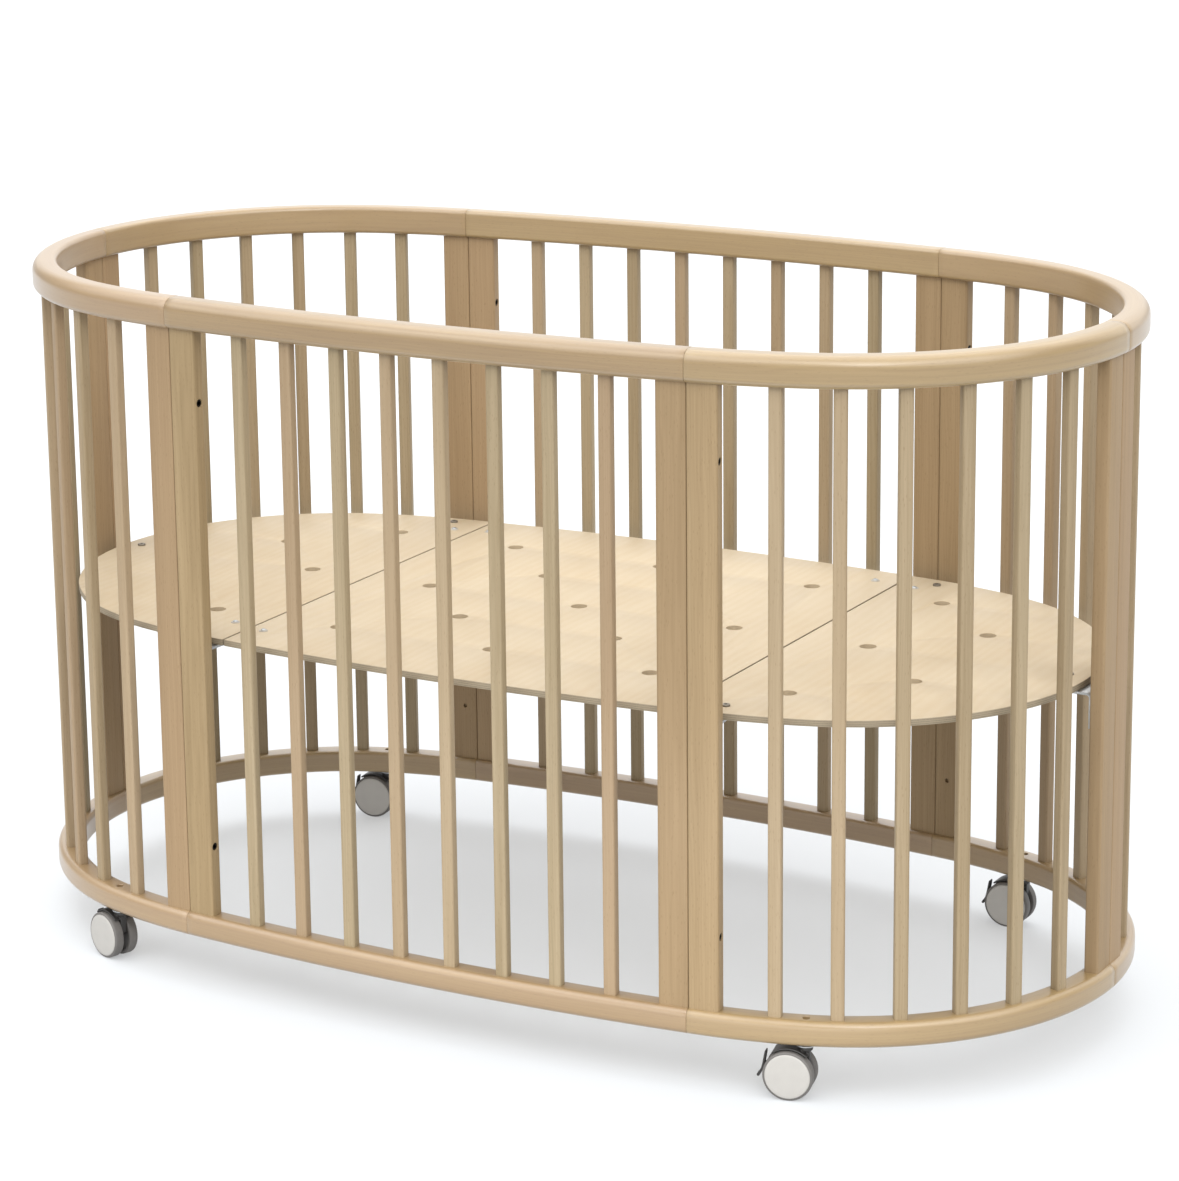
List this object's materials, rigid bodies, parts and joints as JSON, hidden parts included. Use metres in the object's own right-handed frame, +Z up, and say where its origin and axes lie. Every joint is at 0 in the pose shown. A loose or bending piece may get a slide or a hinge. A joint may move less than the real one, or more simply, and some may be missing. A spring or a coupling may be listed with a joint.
{
  "type": "baby crib",
  "caption": "Oval beech baby crib with upright slats all round, paired posts, a vented plywood mattress base and twin-wheel swivel casters with brake levers.",
  "frame": {"origin": "on the floor, at the middle of the crib's plan", "axes": "+X along the long way of the oval, +Z up, -Y towards the front side"},
  "size_m": [1.4278, 0.746, 0.8515],
  "materials": {
    "beech_rail": "clear lacquered beech, curved glued-up rail",
    "beech_slats": "clear lacquered beech slats and lower rail",
    "beech_posts": "clear lacquered beech posts, upright grain",
    "plywood": "pale birch plywood, clear lacquered, dark plies at the edge",
    "zinc_steel": "zinc plated steel",
    "dark_plastic": "moulded black nylon, fine matt grain",
    "pale_nylon": "moulded pale grey nylon wheel"
  },
  "bodies": {
    "root": {"top_rail_front_side": "beech_rail", "lower_rail_and_slats_front_side": "beech_slats", "top_rail_front_right": "beech_rail", "lower_rail_and_slats_front_right": "beech_slats", "top_rail_back_right": "beech_rail", "lower_rail_and_slats_back_right": "beech_slats", "top_rail_back_side": "beech_rail", "lower_rail_and_slats_back_side": "beech_slats", "top_rail_back_left": "beech_rail", "lower_rail_and_slats_back_left": "beech_slats", "top_rail_front_left": "beech_rail", "lower_rail_and_slats_front_left": "beech_slats", "post_front_right_side": "beech_posts", "post_front_right_quarter": "beech_posts", "post_right_end_front": "beech_posts", "post_right_end_back": "beech_posts", "post_back_right_quarter": "beech_posts", "post_back_right_side": "beech_posts", "post_back_left_side": "beech_posts", "post_back_left_quarter": "beech_posts", "post_left_end_back": "beech_posts", "post_left_end_front": "beech_posts", "post_front_left_quarter": "beech_posts", "post_front_left_side": "beech_posts", "base_panel_middle": "plywood", "base_panel_right": "plywood", "base_panel_left": "plywood", "base_bracket_front_right": "zinc_steel", "base_bracket_right_end": "zinc_steel", "base_bracket_back_right": "zinc_steel", "base_bracket_back_left": "zinc_steel", "base_bracket_left_end": "zinc_steel", "base_bracket_front_left": "zinc_steel", "caster_front_left_stem": "zinc_steel", "caster_front_right_stem": "zinc_steel", "caster_back_left_stem": "zinc_steel", "caster_back_right_stem": "zinc_steel"},
    "caster_front_left_swivel": {"caster_front_left_housing": "dark_plastic", "caster_front_left_axle": "zinc_steel"},
    "caster_front_left_wheel_front": {"caster_front_left_wheel_front": "pale_nylon"},
    "caster_front_left_wheel_back": {"caster_front_left_wheel_back": "pale_nylon"},
    "caster_front_left_brake": {"caster_front_left_brake_lever": "dark_plastic"},
    "caster_front_right_swivel": {"caster_front_right_housing": "dark_plastic", "caster_front_right_axle": "zinc_steel"},
    "caster_front_right_wheel_front": {"caster_front_right_wheel_front": "pale_nylon"},
    "caster_front_right_wheel_back": {"caster_front_right_wheel_back": "pale_nylon"},
    "caster_front_right_brake": {"caster_front_right_brake_lever": "dark_plastic"},
    "caster_back_left_swivel": {"caster_back_left_housing": "dark_plastic", "caster_back_left_axle": "zinc_steel"},
    "caster_back_left_wheel_front": {"caster_back_left_wheel_front": "pale_nylon"},
    "caster_back_left_wheel_back": {"caster_back_left_wheel_back": "pale_nylon"},
    "caster_back_left_brake": {"caster_back_left_brake_lever": "dark_plastic"},
    "caster_back_right_swivel": {"caster_back_right_housing": "dark_plastic", "caster_back_right_axle": "zinc_steel"},
    "caster_back_right_wheel_front": {"caster_back_right_wheel_front": "pale_nylon"},
    "caster_back_right_wheel_back": {"caster_back_right_wheel_back": "pale_nylon"},
    "caster_back_right_brake": {"caster_back_right_brake_lever": "dark_plastic"}
  },
  "joints": [
    {"name": "caster_front_left_swivel_turn", "type": "hinge", "parent": "root", "child": "caster_front_left_swivel", "pos_m": [-0.47063, -0.3134, 0.058], "axis": [0, 0, 1], "continuous": true},
    {"name": "caster_front_left_wheel_front_roll", "type": "hinge", "parent": "caster_front_left_swivel", "child": "caster_front_left_wheel_front", "pos_m": [-0.48755, -0.30724, 0.029], "axis": [0.342, 0.9397, 0], "continuous": true},
    {"name": "caster_front_left_wheel_back_roll", "type": "hinge", "parent": "caster_front_left_swivel", "child": "caster_front_left_wheel_back", "pos_m": [-0.48755, -0.30724, 0.029], "axis": [0.342, 0.9397, 0], "continuous": true},
    {"name": "caster_front_left_brake_press", "type": "hinge", "parent": "caster_front_left_swivel", "child": "caster_front_left_brake", "pos_m": [-0.51178, -0.29842, 0.03591], "axis": [-0.342, -0.9397, 0], "range_deg": [0, 12]},
    {"name": "caster_front_right_swivel_turn", "type": "hinge", "parent": "root", "child": "caster_front_right_swivel", "pos_m": [0.47063, -0.3134, 0.058], "axis": [0, 0, 1], "continuous": true},
    {"name": "caster_front_right_wheel_front_roll", "type": "hinge", "parent": "caster_front_right_swivel", "child": "caster_front_right_wheel_front", "pos_m": [0.45313, -0.3176, 0.029], "axis": [-0.2334, 0.9724, 0], "continuous": true},
    {"name": "caster_front_right_wheel_back_roll", "type": "hinge", "parent": "caster_front_right_swivel", "child": "caster_front_right_wheel_back", "pos_m": [0.45313, -0.3176, 0.029], "axis": [-0.2334, 0.9724, 0], "continuous": true},
    {"name": "caster_front_right_brake_press", "type": "hinge", "parent": "caster_front_right_swivel", "child": "caster_front_right_brake", "pos_m": [0.42805, -0.32362, 0.03591], "axis": [0.2334, -0.9724, 0], "range_deg": [0, 12]},
    {"name": "caster_back_left_swivel_turn", "type": "hinge", "parent": "root", "child": "caster_back_left_swivel", "pos_m": [-0.47063, 0.3134, 0.058], "axis": [0, 0, 1], "continuous": true},
    {"name": "caster_back_left_wheel_front_roll", "type": "hinge", "parent": "caster_back_left_swivel", "child": "caster_back_left_wheel_front", "pos_m": [-0.4885, 0.31121, 0.029], "axis": [-0.1219, 0.9925, 0], "continuous": true},
    {"name": "caster_back_left_wheel_back_roll", "type": "hinge", "parent": "caster_back_left_swivel", "child": "caster_back_left_wheel_back", "pos_m": [-0.4885, 0.31121, 0.029], "axis": [-0.1219, 0.9925, 0], "continuous": true},
    {"name": "caster_back_left_brake_press", "type": "hinge", "parent": "caster_back_left_swivel", "child": "caster_back_left_brake", "pos_m": [-0.51409, 0.30806, 0.03591], "axis": [0.1219, -0.9925, 0], "range_deg": [0, 12]},
    {"name": "caster_back_right_swivel_turn", "type": "hinge", "parent": "root", "child": "caster_back_right_swivel", "pos_m": [0.47063, 0.3134, 0.058], "axis": [0, 0, 1], "continuous": true},
    {"name": "caster_back_right_wheel_front_roll", "type": "hinge", "parent": "caster_back_right_swivel", "child": "caster_back_right_wheel_front", "pos_m": [0.45263, 0.3134, 0.029], "axis": [0, 1, 0], "continuous": true},
    {"name": "caster_back_right_wheel_back_roll", "type": "hinge", "parent": "caster_back_right_swivel", "child": "caster_back_right_wheel_back", "pos_m": [0.45263, 0.3134, 0.029], "axis": [0, 1, 0], "continuous": true},
    {"name": "caster_back_right_brake_press", "type": "hinge", "parent": "caster_back_right_swivel", "child": "caster_back_right_brake", "pos_m": [0.42684, 0.3134, 0.03591], "axis": [0, -1, 0], "range_deg": [0, 12]}
  ]
}
